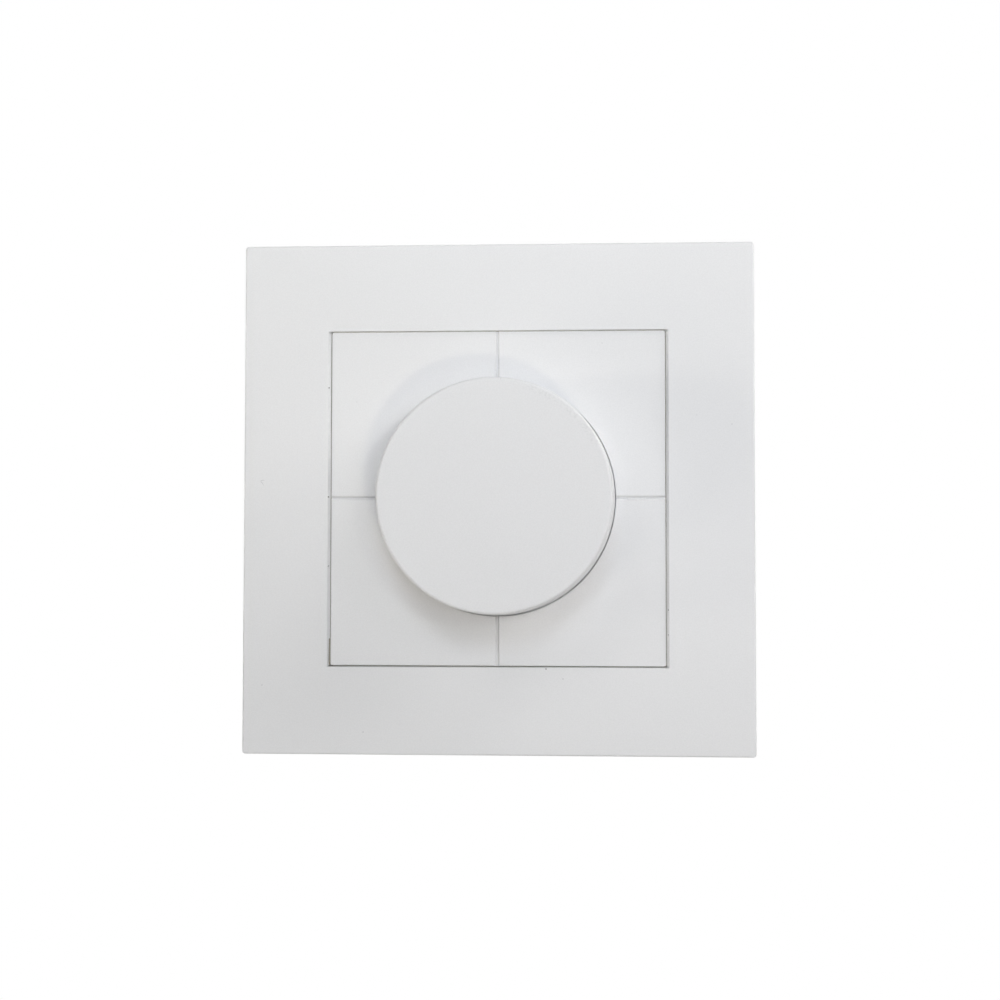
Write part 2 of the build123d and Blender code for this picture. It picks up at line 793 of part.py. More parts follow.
pieces = [
    cover_frame, centre_plate, dimmer_knob, knob_spring_clip, retaining_nut,
    threaded_bush, bush_nut, control_shaft, shaft_circlip,
    support_plate, housing, housing_cover, housing_screws,
    potentiometer_case, resistive_track, wiper_rotor, wiper_contact,
    push_switch_body, push_switch_plunger,
    circuit_board, heat_sink, triac, triac_screw, choke_core, choke_winding,
    film_capacitor, fuse, fuse_clips, terminal_cages, terminal_screws,
]

os.makedirs("parts", exist_ok=True)
for piece in pieces:
    standing = Rot(90, 0, 0) * piece()
    export_step(standing, f"parts/{piece.__name__}.step")
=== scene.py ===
import json
from math import cos, radians, sin, tau

import bmesh
import bpy
from mathutils import Matrix, Vector


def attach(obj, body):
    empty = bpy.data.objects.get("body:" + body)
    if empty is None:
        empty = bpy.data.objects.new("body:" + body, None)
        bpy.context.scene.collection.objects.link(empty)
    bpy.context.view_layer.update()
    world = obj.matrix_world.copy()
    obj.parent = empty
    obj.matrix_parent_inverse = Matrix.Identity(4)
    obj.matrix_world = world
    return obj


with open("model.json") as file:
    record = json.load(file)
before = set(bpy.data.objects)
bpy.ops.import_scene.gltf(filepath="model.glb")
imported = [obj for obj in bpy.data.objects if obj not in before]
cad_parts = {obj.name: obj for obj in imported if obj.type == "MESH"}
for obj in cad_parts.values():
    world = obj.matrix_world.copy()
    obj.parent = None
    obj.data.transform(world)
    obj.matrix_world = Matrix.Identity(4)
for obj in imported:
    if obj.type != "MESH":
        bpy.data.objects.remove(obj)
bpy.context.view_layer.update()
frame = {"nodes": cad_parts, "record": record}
nodes = frame["nodes"]
slots = {row["node"]: row["material_slot"] for row in frame["record"]["subparts"]}

# The camera and the studio are in metres and degrees, in the model's frame: X to the right, Y into
# the wall, Z up. Sizes of surface grain, of the skirt and of marks are in millimetres.
millimetre = 0.001

# Camera, placed from the corners of the frame and of the plate in the photograph
camera_place = (0.0142, -0.2592, -0.0105)
camera_tilt = 2.34
camera_pan = 3.15
camera_roll = -0.07
camera_lens = 54.94

# Studio: the floor, its own glow in the picture, the white behind the object and the light from
# all round
floor_level = -0.35
floor_radius = 0.45
floor_sides = 96
floor_colours = ((0.78, 0.78, 0.77), (0.81, 0.81, 0.80))
floor_roughness = (0.60, 0.70)
floor_mottle_size = 30.0
floor_glow = 0.45
backdrop_colour = (1.0, 1.0, 1.0)
ambient_colour = (0.010, 0.010, 0.010)

# Soft lights that face the middle of the switch: name, place (right, up, out), size, power, colour
soft_lights = [
    ("above", (0.0, 0.211, 0.453), 0.13, 0.378, (0.787, 0.877, 1.0)),
    ("above_left", (-0.1, 0.2, 0.2), 0.10, 0.122, (1.0, 1.0, 0.979)),
    ("top_right_side", (0.235, 0.407, 0.171), 0.13, 0.400, (1.0, 0.994, 0.979)),
    ("front", (0.087, 0.0, 0.492), 0.13, 0.325, (0.845, 0.857, 1.0)),
    ("front_left", (-0.211, 0.0, 0.453), 0.13, 0.157, (1.0, 0.991, 0.950)),
    ("right", (0.278, 0.161, 0.383), 0.13, 0.235, (0.986, 0.956, 1.0)),
    ("right_side", (0.426, 0.246, 0.087), 0.13, 0.900, (1.0, 0.998, 0.972)),
    ("low_right_side", (0.426, -0.246, 0.087), 0.13, 0.180, (0.871, 0.914, 1.0)),
    ("low_left_side", (-0.407, -0.235, 0.171), 0.13, 0.375, (1.0, 0.940, 0.864)),
    ("lamp_low_right", (0.263, -0.402, 0.877), 0.055, 1.15, (1.0, 0.922, 0.739)),
    ("lamp_right", (0.386, 0.163, 0.908), 0.045, 0.87, (0.966, 1.0, 0.954)),
    ("behind", (0.0, -0.1, -1.0), 1.20, 5.5, (1.0, 1.0, 1.0)),
    ("behind_left", (-0.6, 0.4, -0.6), 0.40, 0.8, (1.0, 1.0, 1.0)),
    ("behind_right", (0.7, 0.3, -0.5), 0.40, 0.5, (1.0, 1.0, 1.0)),
]

# A narrow beam from the left on the upper half of the front: place and aim (right, up, out), size,
# angle of the beam, power and colour
beam_place = (-0.47, 0.0, 0.171)
beam_aim = (-0.01, 0.045, 0.01)
beam_size = 0.08
beam_angle = 22
beam_power = 0.010
beam_colour = (1.0, 0.966, 0.893)

# Noise: the part of its range that colours and roughness run over, and its detail, plain or fine
noise_low = 0.3
noise_high = 0.7
plain_detail = 2.0
fine_detail = 3.0

# White plastic: shades, its grain's size, spread and depth, roughness from and to, and the size of
# the patches of roughness
frame_shade = 0.80
knob_shade = 0.78
white_grain_size = 0.22
white_grain_spread = 0.022
white_grain_depth = 0.002
white_roughness = (0.38, 0.48)
white_sheen_size = 0.8

# Scuffs: how much darker they are, their size, and where in the noise a patch starts and is full
scuff_share = 0.06
scuff_size = 0.42
scuff_edges = (0.46, 0.64)

# Where the knob's rim is scuffed: band of radius, middle direction, reach to each side of it in
# degrees, and how softly the ends fade, as a cosine
rim_scuff_radius = (17.20, 17.60, 18.20, 18.60)
rim_scuff_direction = 50.0
rim_scuff_reach = 24.0
rim_scuff_fade = 0.02

# Where the plate is scuffed beside its right groove: band to the right and band upward
groove_scuff_right = (20.0, 20.6, 26.8, 27.4)
groove_scuff_up = (-0.40, -0.30, 0.05, 0.20)

# Painted shade on one wall of the lower and of the left groove, the wall that faces away from the
# light, deepest in the knob's shadow: band across the groove, band along it, and how much darker
# it is at the far end and beside the knob
painted_groove_shade_across = (0.06, 0.12, 0.30, 0.36)
painted_groove_shade_along = (-27.50, -27.40, -19.30, -19.20)
painted_groove_shade_shares = (0.01, 0.30)

# Darker patches on the bevels at the two sides of the opening: band of distance from the middle,
# half length, how softly it ends, how much darker it is from and to, and the size of its patches
bevel_darkening_band = (27.56, 27.62, 28.02, 28.06)
bevel_darkening_half_length = 27.6
bevel_darkening_fade = 0.1
bevel_darkening_shares = (0.098, 0.14)
bevel_darkening_size = 1.5

# Moulded materials: darkest and lightest colour, roughness from and to, grain size and depth
moulded_finishes = {
    "grey_plastic": ((0.115, 0.118, 0.124), (0.175, 0.178, 0.184), (0.42, 0.62), 0.35, 0.020),
    "black_plastic": ((0.018, 0.018, 0.020), (0.036, 0.036, 0.038), (0.35, 0.55), 0.25, 0.010),
    "yellow_plastic": ((0.66, 0.45, 0.08), (0.80, 0.60, 0.15), (0.16, 0.28), 1.20, 0.015),
    "ferrite": ((0.055, 0.052, 0.050), (0.115, 0.108, 0.102), (0.60, 0.80), 0.30, 0.020),
}

# The same for marks, and how much broader the patches of roughness are than the grain
mark_finishes = {
    "dirt": ((0.05, 0.045, 0.04), (0.16, 0.15, 0.13), (0.70, 0.90), 0.10, 0.005),
    "scratch": ((0.40, 0.40, 0.41), (0.56, 0.56, 0.57), (0.50, 0.70), 0.10, 0.005),
    "dust": ((0.30, 0.28, 0.23), (0.42, 0.40, 0.34), (0.85, 0.95), 0.15, 0.010),
}
sheen_breadth = 4

# Metals: darkest and lightest colour, roughness from and to, size of the patches of tint, and the
# stretch and size of the tool marks
metal_finishes = {
    "zinc_steel": ((0.55, 0.57, 0.62), (0.70, 0.69, 0.64), (0.28, 0.44), 5.0, (1, 1, 8), 0.40),
    "bright_steel": ((0.60, 0.60, 0.61), (0.74, 0.74, 0.75), (0.16, 0.30), 6.0, (1, 25, 1), 0.90),
    "spring_steel": ((0.22, 0.23, 0.26), (0.36, 0.36, 0.38), (0.26, 0.42), 2.5, (1, 12, 1), 0.60),
    "aluminium": ((0.70, 0.70, 0.71), (0.82, 0.82, 0.83), (0.32, 0.48), 6.0, (20, 1, 1), 0.80),
    "brass": ((0.60, 0.42, 0.17), (0.80, 0.61, 0.29), (0.22, 0.36), 3.0, (1, 18, 1), 0.70),
}
tool_mark_depth = 0.004

# Thread of the bush
thread_pitch = 0.75
thread_depth = 0.25

# Brown laminate and the ring of carbon on it: inner and outer radius and how softly its edges fade
laminate_colours = ((0.22, 0.13, 0.07), (0.33, 0.20, 0.11))
laminate_roughness = (0.40, 0.60)
laminate_fibre_size = 0.5
laminate_fibre_stretch = (6, 1, 1)
laminate_fibre_depth = 0.006
carbon_colour = (0.012, 0.012, 0.013, 1.0)
carbon_ring = (4.6, 7.6)
carbon_fade = 0.1

# Circuit board and its tracks: the tracks' width and length are shares of their pitch
board_colours = ((0.03, 0.19, 0.08), (0.06, 0.29, 0.13))
board_patch_size = 3.0
board_roughness = (0.22, 0.38)
board_sheen_size = 0.6
track_colour = (0.13, 0.42, 0.20, 1.0)
track_pitch = 4.0
track_width_share = 0.12
track_length_share = 3
track_depth = 0.03

# Winding of the choke: its middle is in the model's frame. Its colours run from painted shade where
# the turns meet to plain copper on each turn's crown
copper_turn_shading_colours = ((0.50, 0.20, 0.08), (0.78, 0.40, 0.20))
copper_roughness = (0.20, 0.34)
copper_sheen_size = 0.5
enamel_weight = 0.6
winding_middle = (-18.05, 10.15, 0.0)
winding_turns = 46
wire_depth = 0.5

# Fuse: where its caps start from the middle, how softly, and roughness of the glass and of the caps
fuse_glass_colour = (0.93, 0.96, 0.95, 1.0)
fuse_roughness = (0.03, 0.26)
fuse_cap_start = 5.0
fuse_cap_fade = 0.05
fuse_cap_colours = ((0.62, 0.62, 0.63), (0.78, 0.78, 0.79))
fuse_cap_patch_size = 1.0

# The lower end of the knob's skirt. At rest it ends just in front of the round well of the plate,
# and it enters the well when the knob is pressed. Radius at its top and bottom, heights in front of
# the wall, how far its bottom leans (right, up), thickness, number of sides, and the difference in
# height below which a face counts as level.
skirt_radii = (19.135, 19.22)
skirt_heights = (10.20, 9.25)
skirt_lean = (0.075, 0.095)
skirt_wall = 1.6
skirt_sides = 192
skirt_level_difference = 0.01

# Marks that the photograph shows, at places seen from the front (right, up): flecks with their
# radius, strokes with their width. A ray from cast_start in front of the wall finds the surface.
cast_start = 60
mark_height = 0.004
fleck_sides = 7
fleck_lobes = 3
fleck_unevenness = 0.25
stroke_end_share = 0.5
frame_flecks = [
    (7.98, -27.88, 0.11), (-27.92, 18.32, 0.10), (-27.92, 0.25, 0.11), (-27.92, -11.14, 0.14),
    (27.95, -18.23, 0.12), (27.95, -22.29, 0.14),
]
faint_frame_flecks = [
    (-38.76, -30.73, 0.08), (-21.99, -38.30, 0.09), (10.75, -29.48, 0.09), (38.30, 12.05, 0.08),
    (32.63, 13.55, 0.06),
]
faint_plate_flecks = [
    (17.19, 25.51, 0.07), (-23.29, 15.98, 0.06), (0.24, 21.49, 0.05), (-0.25, 21.16, 0.04),
]
frame_scratch = [
    (-38.60, 2.98), (-38.92, 3.04), (-39.22, 2.90), (-39.12, 2.68), (-38.88, 2.52), (-38.76, 2.18),
]
frame_scratch_width = 0.06
knob_nick = [(1.04, 18.38), (1.15, 18.50), (1.30, 18.64)]
knob_nick_width = 0.16

# Dust in the gap round the plate, on its left, right, top and bottom and in the notch: the two ends
# of each strip (right, up), its width, and its depth under the plate's front
dust_strips = [
    ((-27.555, -23.00), (-27.555, 27.40), 0.11, 0.26),
    ((27.555, 27.40), (27.555, -27.30), 0.11, 0.26),
    ((-27.40, 27.570), (27.40, 27.570), 0.08, 0.08),
    ((-27.40, -27.525), (27.40, -27.525), 0.17, 0.75),
    ((-27.655, -27.40), (-27.655, -23.05), 0.31, 0.32),
]
plate_front = 9.2
dust_step = 0.8
dust_height = 0.3
dust_unevenness = 0.05
dust_waves = (7.0, 2.3)


# Camera, lights and studio

def row_place(right, up, out):
    """A place given as seen from the front, in the model's frame."""
    return Vector((right, -out, up))


def add_camera():
    """The camera that took the photograph."""
    camera = bpy.data.objects.new("camera", bpy.data.cameras.new("camera"))
    bpy.context.collection.objects.link(camera)
    camera.data.lens = camera_lens
    camera.location = camera_place
    level = Matrix.Rotation(radians(90 + camera_tilt), 3, "X")
    pan = Matrix.Rotation(radians(camera_pan), 3, "Y")
    roll = Matrix.Rotation(radians(camera_roll), 3, "Z")
    camera.rotation_euler = (level @ pan @ roll).to_euler()
    bpy.context.scene.camera = camera


def add_light(name, place, size, power, colour, aim=(0, 0, 0), angle=180):
    """A square soft light that faces the middle of the switch, or its own aim."""
    light = bpy.data.lights.new(name, "AREA")
    light.size = size
    light.energy = power
    light.color = colour
    light.spread = radians(angle)
    lamp = bpy.data.objects.new(name, light)
    bpy.context.collection.objects.link(lamp)
    lamp.location = row_place(*place)
    away = lamp.location - row_place(*aim)
    lamp.rotation_euler = away.to_track_quat("Z", "Y").to_euler()


def add_world():
    """White behind the object, and a dimmer even light from all round."""
    world = bpy.data.worlds.new("studio")
    world.use_nodes = True
    bpy.context.scene.world = world
    tree = world.node_tree
    ambient = tree.nodes["Background"]
    ambient.inputs["Color"].default_value = (*ambient_colour, 1.0)
    backdrop = add(tree, "Background", Color=(*backdrop_colour, 1.0))
    path = add(tree, "LightPath")
    mix = add(tree, "MixShader", Fac=path.outputs["Is Camera Ray"])
    tree.links.new(ambient.outputs["Background"], mix.inputs[1])
    tree.links.new(backdrop.outputs["Background"], mix.inputs[2])
    tree.links.new(mix.outputs["Shader"], tree.nodes["World Output"].inputs["Surface"])


def add_floor():
    """A round floor well below the switch."""
    bpy.ops.mesh.primitive_circle_add(vertices=floor_sides, radius=floor_radius,
                                      fill_type="NGON", location=(0, 0, floor_level))
    floor = bpy.context.object
    floor.name = "studio_floor"
    floor.data.materials.append(floor_finish())


# Building blocks of the materials

def new_material(name):
    """A new material, its node tree and its main shader."""
    material = bpy.data.materials.new(name)
    material.use_nodes = True
    return material, material.node_tree, material.node_tree.nodes["Principled BSDF"]


def feed(tree, socket, value):
    """Links a socket to another node's output, or sets its value."""
    if isinstance(value, bpy.types.NodeSocket):
        tree.links.new(value, socket)
    else:
        socket.default_value = value


def add(tree, kind, settings=None, **inputs):
    """A new shader node with its settings and inputs."""
    node = tree.nodes.new("ShaderNode" + kind)
    for name, value in (settings or {}).items():
        setattr(node, name, value)
    for name, value in inputs.items():
        feed(tree, node.inputs[name.replace("_", " ")], value)
    return node


def paint(tree, shader, colour, roughness):
    """Feeds a shader its colour and its roughness."""
    feed(tree, shader.inputs["Base Color"], colour)
    feed(tree, shader.inputs["Roughness"], roughness)


def position(tree):
    """Where a point of the surface lies in the model's frame."""
    return add(tree, "TexCoord").outputs["Object"]


def axes(tree):
    """The three parts of where a point lies, by the name of the axis."""
    return add(tree, "SeparateXYZ", Vector=position(tree)).outputs


def noise(tree, grain, stretch=(1, 1, 1), detail=plain_detail):
    """Random grain of a size in millimetres, finer along the stretched axes."""
    spot = add(tree, "Mapping", Vector=position(tree), Scale=stretch).outputs["Vector"]
    scale = 1 / (grain * millimetre)
    return add(tree, "TexNoise", Vector=spot, Scale=scale, Detail=detail).outputs["Fac"]


def spread(tree, factor, low, high, start=noise_low, end=noise_high):
    """A number that runs from low to high as the factor runs from start to end."""
    ends = {"From_Min": start, "From_Max": end, "To_Min": low, "To_Max": high}
    return add(tree, "MapRange", Value=factor, **ends).outputs["Result"]


def tint(tree, factor, dark, light, start=noise_low, end=noise_high):
    """A colour that runs from dark to light as the factor runs from start to end."""
    ramp = add(tree, "ValToRGB", Fac=factor)
    for stop, place, colour in zip(ramp.color_ramp.elements, (start, end), (dark, light)):
        stop.position = place
        stop.color = (*colour, 1.0)
    return ramp.outputs["Color"]


def blend(tree, factor, first, second):
    """One colour laid over another where the factor is one."""
    mix = add(tree, "Mix", {"data_type": "RGBA"}, Factor=factor)
    sockets = {socket.identifier: socket for socket in mix.inputs}
    feed(tree, sockets["A_Color"], first)
    feed(tree, sockets["B_Color"], second)
    return next(socket for socket in mix.outputs if socket.identifier == "Result_Color")


def maths(tree, operation, first, second=0.0):
    """One step of arithmetic on numbers."""
    node = add(tree, "Math", {"operation": operation})
    feed(tree, node.inputs[0], first)
    feed(tree, node.inputs[1], second)
    return node.outputs["Value"]


def times(tree, first, second):
    """Two numbers multiplied."""
    return maths(tree, "MULTIPLY", first, second)


def vector_maths(tree, operation, first, second=(0.0, 0.0, 0.0)):
    """One step of arithmetic on vectors."""
    node = add(tree, "VectorMath", {"operation": operation})
    feed(tree, node.inputs[0], first)
    feed(tree, node.inputs[1], second)
    return node.outputs


def roughen(tree, shader, height, depth):
    """Raises the surface by a height map, to a depth in millimetres, over any relief it has."""
    relief = add(tree, "Bump", Height=height, Distance=depth * millimetre)
    for link in shader.inputs["Normal"].links:
        tree.links.new(link.from_socket, relief.inputs["Normal"])
    tree.links.new(relief.outputs["Normal"], shader.inputs["Normal"])


def distance_from_axis(tree):
    """How far a point lies from the knob's axis."""
    flat = vector_maths(tree, "MULTIPLY", position(tree), (1.0, 0.0, 1.0))["Vector"]
    return vector_maths(tree, "LENGTH", flat)["Value"]


def band(tree, value, edges):
    """One between the two middle edges, in millimetres, and zero outside the two outer ones."""
    outer, inner, inner_end, outer_end = [edge * millimetre for edge in edges]
    rise = spread(tree, value, 0.0, 1.0, outer, inner)
    fall = spread(tree, value, 1.0, 0.0, inner_end, outer_end)
    return times(tree, rise, fall)


# Materials

def white_plastic(name, shade):
    """Satin white plastic with a fine grain."""
    material, tree, shader = new_material(name)
    grain = noise(tree, white_grain_size)
    low, high = shade * (1 - white_grain_spread), shade * (1 + white_grain_spread)
    colour = tint(tree, grain, (low, low, low), (high, high, high))
    paint(tree, shader, colour, spread(tree, noise(tree, white_sheen_size), *white_roughness))
    roughen(tree, shader, grain, white_grain_depth)
    return material


def darken(material, share):
    """Takes a share off the base colour."""
    tree = material.node_tree
    colour = tree.nodes["Principled BSDF"].inputs["Base Color"]
    clean = colour.links[0].from_socket
    tree.links.new(blend(tree, share, clean, (0.0, 0.0, 0.0, 1.0)), colour)


def scuff(material, region):
    """Darkens the base colour in broken patches where the region is one."""
    tree = material.node_tree
    grain = noise(tree, scuff_size, detail=fine_detail)
    patches = spread(tree, grain, 0.0, scuff_share, *scuff_edges)
    darken(material, times(tree, region, patches))


def knob_plastic():
    """White plastic, scuffed along the upper right of the knob's rim."""
    material = white_plastic("knob_plastic", knob_shade)
    tree = material.node_tree
    radius = distance_from_axis(tree)
    place = axes(tree)
    across = times(tree, place["X"], cos(radians(rim_scuff_direction)))
    upward = times(tree, place["Z"], sin(radians(rim_scuff_direction)))
    towards = maths(tree, "DIVIDE", maths(tree, "ADD", across, upward), radius)
    edge = cos(radians(rim_scuff_reach))
    sector = spread(tree, towards, 0.0, 1.0, edge - rim_scuff_fade, edge + rim_scuff_fade)
    scuff(material, times(tree, sector, band(tree, radius, rim_scuff_radius)))
    return material


def frame_plastic():
    """White plastic, darker in patches on the bevels at the two sides of the opening."""
    material = white_plastic("frame_plastic", frame_shade)
    tree = material.node_tree
    place = axes(tree)
    beside = band(tree, maths(tree, "ABSOLUTE", place["X"]), bevel_darkening_band)
    start = bevel_darkening_half_length * millimetre
    end = start + bevel_darkening_fade * millimetre
    within = spread(tree, maths(tree, "ABSOLUTE", place["Z"]), 1.0, 0.0, start, end)
    patches = spread(tree, noise(tree, bevel_darkening_size), *bevel_darkening_shares)
    darken(material, times(tree, times(tree, beside, within), patches))
    return material


def plate_plastic():
    """White plastic, scuffed below the right groove, with painted shade on one wall of the lower
    and left grooves.
    """
    material = white_plastic("plate_plastic", frame_shade)
    tree = material.node_tree
    place = axes(tree)
    along = band(tree, place["X"], groove_scuff_right)
    scuff(material, times(tree, along, band(tree, place["Z"], groove_scuff_up)))
    # Painted shade on the groove walls that face away from the light, deepest near the knob
    darken(material, painted_groove_shade(tree, place["X"], place["Z"]))
    darken(material, painted_groove_shade(tree, place["Z"], place["X"]))
    return material


def painted_groove_shade(tree, across, along):
    """How dark the painted shade is on one wall of a groove, darkest beside the knob, in its
    shadow.
    """
    far, near = painted_groove_shade_along[0] * millimetre, painted_groove_shade_along[-1] * millimetre
    share = spread(tree, along, *painted_groove_shade_shares, far, near)
    side = band(tree, across, painted_groove_shade_across)
    strip = times(tree, side, band(tree, along, painted_groove_shade_along))
    return times(tree, strip, share)


def moulded(name, dark, light, rough, grain, depth):
    """Moulded or sintered material, or dirt, with a grained skin."""
    material, tree, shader = new_material(name)
    skin = noise(tree, grain)
    sheen = noise(tree, sheen_breadth * grain)
    paint(tree, shader, tint(tree, skin, dark, light), spread(tree, sheen, *rough))
    roughen(tree, shader, skin, depth)
    return material


def metal(name, dark, light, rough, patch, stretch, mark):
    """Metal with broad patches of tint and fine tool marks."""
    material, tree, shader = new_material(name)
    shader.inputs["Metallic"].default_value = 1.0
    marks = noise(tree, mark, stretch, fine_detail)
    colour = tint(tree, noise(tree, patch), dark, light)
    paint(tree, shader, colour, spread(tree, marks, *rough))
    roughen(tree, shader, marks, tool_mark_depth)
    return material


def threaded_brass():
    """Turned brass with the rounds of a fine thread along the bush."""
    material = metal("threaded_brass", *metal_finishes["brass"])
    tree = material.node_tree
    half_pitch = 0.5 * thread_pitch * millimetre
    rounds = maths(tree, "PINGPONG", axes(tree)["Y"], half_pitch)
    height = spread(tree, rounds, 0.0, 1.0, 0.0, half_pitch)
    roughen(tree, tree.nodes["Principled BSDF"], height, thread_depth)
    return material


def brown_laminate():
    """Phenolic paper with the ring of carbon that the wiper runs on."""
    material, tree, shader = new_material("brown_laminate")
    fibres = noise(tree, laminate_fibre_size, laminate_fibre_stretch)
    inner, outer = carbon_ring
    edges = (inner, inner + carbon_fade, outer - carbon_fade, outer)
    ring = band(tree, distance_from_axis(tree), edges)
    colour = blend(tree, ring, tint(tree, fibres, *laminate_colours), carbon_colour)
    paint(tree, shader, colour, spread(tree, fibres, *laminate_roughness))
    roughen(tree, shader, fibres, laminate_fibre_depth)
    return material


def green_board():
    """Green solder mask with the paler lines of the tracks under it."""
    material, tree, shader = new_material("green_board")
    upright = add(tree, "Mapping", Vector=position(tree), Rotation=(radians(90), 0, 0))
    pitch = track_pitch * millimetre
    grid = add(tree, "TexBrick", Vector=upright.outputs["Vector"], Scale=1.0, Row_Height=pitch,
               Mortar_Size=track_width_share * pitch, Brick_Width=track_length_share * pitch)
    mask = tint(tree, noise(tree, board_patch_size), *board_colours)
    colour = blend(tree, grid.outputs["Fac"], mask, track_colour)
    paint(tree, shader, colour, spread(tree, noise(tree, board_sheen_size), *board_roughness))
    roughen(tree, shader, grid.outputs["Fac"], track_depth)
    return material


def copper_wire():
    """Enamelled copper wire, turn beside turn round the ring, with painted shade where the turns
    meet.
    """
    material, tree, shader = new_material("copper_wire")
    middle = Vector(winding_middle) * millimetre
    centred = vector_maths(tree, "SUBTRACT", position(tree), middle)["Vector"]
    turned = add(tree, "Mapping", Vector=centred, Rotation=(0, radians(90), 0)).outputs["Vector"]
    angle = add(tree, "TexGradient", {"gradient_type": "RADIAL"}, Vector=turned).outputs["Fac"]
    half_turn = 0.5
    wires = maths(tree, "PINGPONG", times(tree, angle, winding_turns), half_turn)
    shader.inputs["Metallic"].default_value = 1.0
    shader.inputs["Coat Weight"].default_value = enamel_weight
    # Painted shade: darker where the turns meet, lighter on each turn's crown
    colour = tint(tree, wires, *copper_turn_shading_colours, 0.0, half_turn)
    paint(tree, shader, colour, spread(tree, noise(tree, copper_sheen_size), *copper_roughness))
    roughen(tree, shader, wires, wire_depth)
    return material


def fuse_glass():
    """A clear glass tube between two plated caps."""
    material, tree, shader = new_material("fuse_glass")
    along = maths(tree, "ABSOLUTE", axes(tree)["X"])
    start = fuse_cap_start * millimetre
    cap = spread(tree, along, 0.0, 1.0, start, start + fuse_cap_fade * millimetre)
    plating = tint(tree, noise(tree, fuse_cap_patch_size), *fuse_cap_colours)
    colour = blend(tree, cap, fuse_glass_colour, plating)
    paint(tree, shader, colour, spread(tree, cap, *fuse_roughness, 0.0, 1.0))
    tree.links.new(cap, shader.inputs["Metallic"])
    tree.links.new(maths(tree, "SUBTRACT", 1.0, cap), shader.inputs["Transmission Weight"])
    return material


def floor_finish():
    """A floor with a faint even mottle, that looks paler than the light that it gives back."""
    material, tree, shader = new_material("studio_floor")
    mottle = noise(tree, floor_mottle_size)
    colour = tint(tree, mottle, *floor_colours)
    paint(tree, shader, colour, spread(tree, mottle, *floor_roughness))
    seen = add(tree, "LightPath").outputs["Is Camera Ray"]
    tree.links.new(times(tree, seen, floor_glow), shader.inputs["Emission Strength"])
    return material


def dress_nodes():
    """Gives every node of the model its own finish, or else that of its material slot."""
    finishes = {slot: moulded(slot, *row) for slot, row in moulded_finishes.items()}
    finishes.update({slot: metal(slot, *row) for slot, row in metal_finishes.items()})
    finishes["white_plastic"] = white_plastic("white_plastic", frame_shade)
    finishes["brown_laminate"] = brown_laminate()
    finishes["green_board"] = green_board()
    finishes["copper_wire"] = copper_wire()
    finishes["fuse_glass"] = fuse_glass()
    own = {
        "cover_frame": frame_plastic(),
        "centre_plate": plate_plastic(),
        "dimmer_knob": knob_plastic(),
        "threaded_bush": threaded_brass(),
    }
    for name, node in nodes.items():
        node.material_slots[0].material = own.get(name) or finishes[slots[name]]


# Pieces added to the model

def finish_piece(name, mesh, body, material):
    """Turns a mesh into a piece that rides on a body."""
    bmesh.ops.recalc_face_normals(mesh, faces=mesh.faces)
    data = bpy.data.meshes.new(name)
    mesh.to_mesh(data)
    mesh.free()
    data.materials.append(material)
    piece = bpy.data.objects.new(name, data)
    bpy.context.collection.objects.link(piece)
    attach(piece, body)


# The end of the knob's skirt

def add_skirt():
    """A ring that carries the knob's side on towards the well of the plate."""
    outer = list(zip(skirt_radii, skirt_heights, ((0, 0), skirt_lean)))
    inner = [(radius - skirt_wall, height, lean) for radius, height, lean in reversed(outer)]
    mesh = bmesh.new()
    rings = [add_ring(mesh, *row) for row in outer + inner]
    for ring, after in zip(rings, rings[1:] + rings[:1]):
        level = abs(ring[0].co.y - after[0].co.y) < skirt_level_difference * millimetre
        for i in range(skirt_sides):
            k = (i + 1) % skirt_sides
            face = mesh.faces.new((ring[i], after[i], after[k], ring[k]))
            face.smooth = not level
    finish_piece("knob_skirt", mesh, "knob", bpy.data.materials["knob_plastic"])


def add_ring(mesh, radius, height, lean):
    """Corners round the knob's axis, or a little beside it, at a height in front of the wall."""
    corners = []
    for i in range(skirt_sides):
        turn = tau * i / skirt_sides
        right, up = lean[0] + radius * cos(turn), lean[1] + radius * sin(turn)
        corners.append(mesh.verts.new(row_place(right, up, height) * millimetre))
    return corners


# Marks of use

def on_surface(node, right, up):
    """The point of a node's front at a place seen from the front, and the way it faces."""
    start = Vector((right * millimetre, -cast_start * millimetre, up * millimetre))
    _, place, facing, _ = nodes[node].ray_cast(start, Vector((0, 1, 0)))
    return place, facing


def add_skin(mesh, node, outline):
    """Upper and lower corners of a thin mark that lies on a node, one pair for each place."""
    upper, lower = [], []
    for right, up in outline:
        place, facing = on_surface(node, right, up)
        upper.append(mesh.verts.new(place + facing * mark_height * millimetre))
        lower.append(mesh.verts.new(place - facing * mark_height * millimetre))
    return upper, lower


def close_skin(mesh, upper, lower):
    """The sides round a mark whose corners go round anticlockwise."""
    count = len(upper)
    for i in range(count):
        after = (i + 1) % count
        mesh.faces.new((lower[i], lower[after], upper[after], upper[i]))


def add_fleck(mesh, node, right, up, radius):
    """A thin uneven fleck."""
    turn = right + up
    outline = []
    for corner in range(fleck_sides):
        angle = turn + tau * corner / fleck_sides
        reach = radius * (1 + fleck_unevenness * sin(fleck_lobes * angle + turn))
        outline.append((right + reach * cos(angle), up + reach * sin(angle)))
    upper, lower = add_skin(mesh, node, outline)
    mesh.faces.new(upper)
    mesh.faces.new(lower[::-1])
    close_skin(mesh, upper, lower)


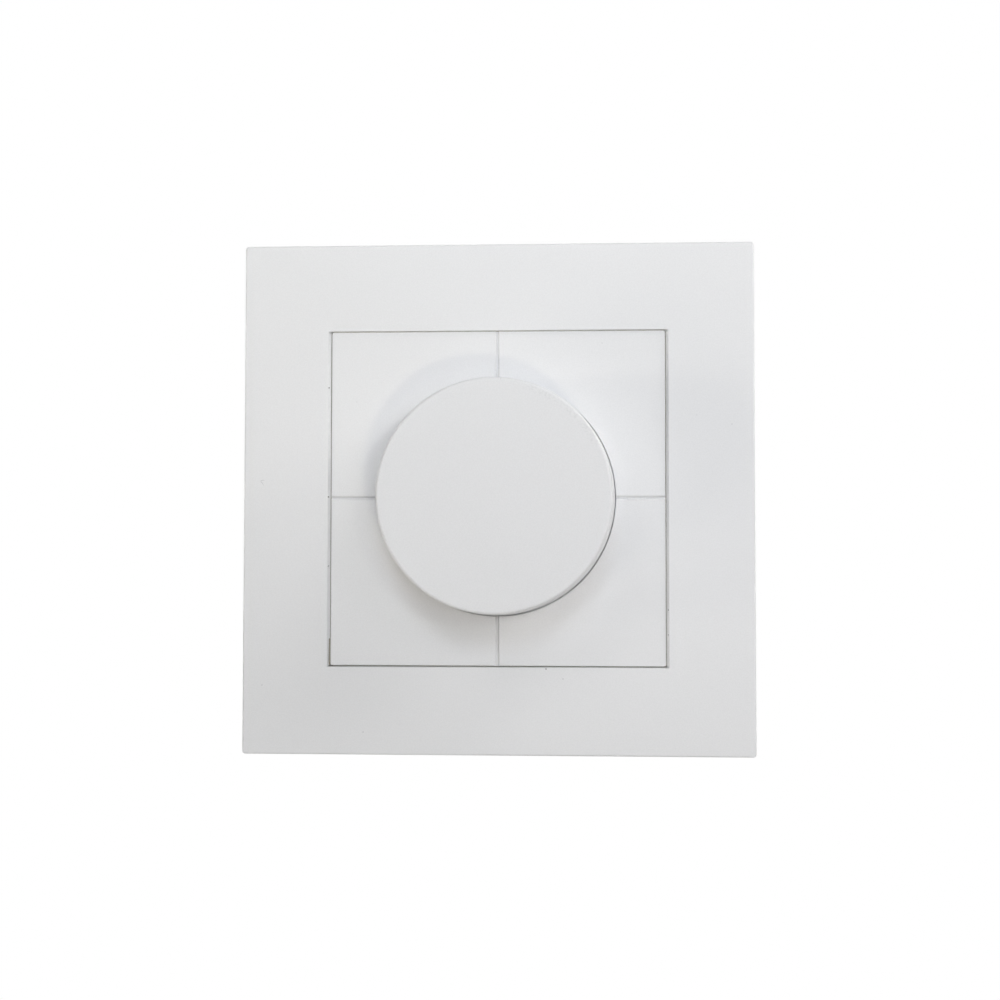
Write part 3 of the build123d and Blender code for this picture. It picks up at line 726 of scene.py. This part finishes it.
def add_stroke(mesh, node, points, width):
    """A thin line along a path, narrower towards its ends."""
    path = [Vector(point) for point in points]
    last = len(path) - 1
    left, right = [], []
    for i, point in enumerate(path):
        along = (path[min(i + 1, last)] - path[max(i - 1, 0)]).normalized()
        half = 0.5 * width * (stroke_end_share if i in (0, last) else 1.0)
        across = Vector((-along.y, along.x)) * half
        left.append(point + across)
        right.append(point - across)
    upper, lower = add_skin(mesh, node, right + left[::-1])
    count = len(upper)
    for i in range(last):
        quad = (i, i + 1, count - 2 - i, count - 1 - i)
        mesh.faces.new([upper[k] for k in quad])
        mesh.faces.new([lower[k] for k in reversed(quad)])
    close_skin(mesh, upper, lower)


def add_marks():
    """Specks of dirt, a scratch and a nick, each group on the body that carries it."""
    dirt = moulded("dirt", *mark_finishes["dirt"])
    scratch = moulded("scratch", *mark_finishes["scratch"])
    mesh = bmesh.new()
    for row in frame_flecks:
        add_fleck(mesh, "cover_frame", *row)
    finish_piece("dirt_flecks", mesh, "base", dirt)
    mesh = bmesh.new()
    add_stroke(mesh, "cover_frame", frame_scratch, frame_scratch_width)
    for row in faint_frame_flecks:
        add_fleck(mesh, "cover_frame", *row)
    for row in faint_plate_flecks:
        add_fleck(mesh, "centre_plate", *row)
    finish_piece("faint_marks", mesh, "base", scratch)
    mesh = bmesh.new()
    add_stroke(mesh, "dimmer_knob", knob_nick, knob_nick_width)
    finish_piece("knob_nick", mesh, "knob", dirt)


def add_dust():
    """Uneven strips of dust that lie in the gap between the plate and the frame."""
    mesh = bmesh.new()
    for start, end, width, depth in dust_strips:
        add_dust_strip(mesh, Vector(start), Vector(end), width, plate_front - depth)
    dust = moulded("dust", *mark_finishes["dust"])
    finish_piece("gap_dust", mesh, "base", dust)


def add_dust_strip(mesh, start, end, width, level):
    """A strip of dust from one place to another, whose top goes up and down about a level."""
    along = (end - start).normalized()
    across = Vector((-along.y, along.x)) * width / 2
    steps = round((end - start).length / dust_step)
    fast, slow = dust_waves
    rows = []
    for i in range(steps + 1):
        middle = start.lerp(end, i / steps)
        top = level + dust_unevenness * sin(fast * i) * sin(slow * i)
        spots = [(middle + across, top), (middle - across, top)]
        spots += [(spot, top - dust_height) for spot, _ in reversed(spots)]
        rows.append([mesh.verts.new(row_place(*spot, out) * millimetre) for spot, out in spots])
    for row, after in zip(rows, rows[1:]):
        for k in range(len(row)):
            mesh.faces.new((row[k - 1], row[k], after[k], after[k - 1]))
    mesh.faces.new(rows[0])
    mesh.faces.new(rows[-1][::-1])


def main():
    """Builds the studio round the model, dresses it and adds the pieces that it lacks."""
    bpy.context.scene.view_settings.view_transform = "Standard"
    add_camera()
    add_world()
    for row in soft_lights:
        add_light(*row)
    add_light("left_beam", beam_place, beam_size, beam_power, beam_colour, beam_aim, beam_angle)
    add_floor()
    dress_nodes()
    add_skirt()
    add_marks()
    add_dust()


main()
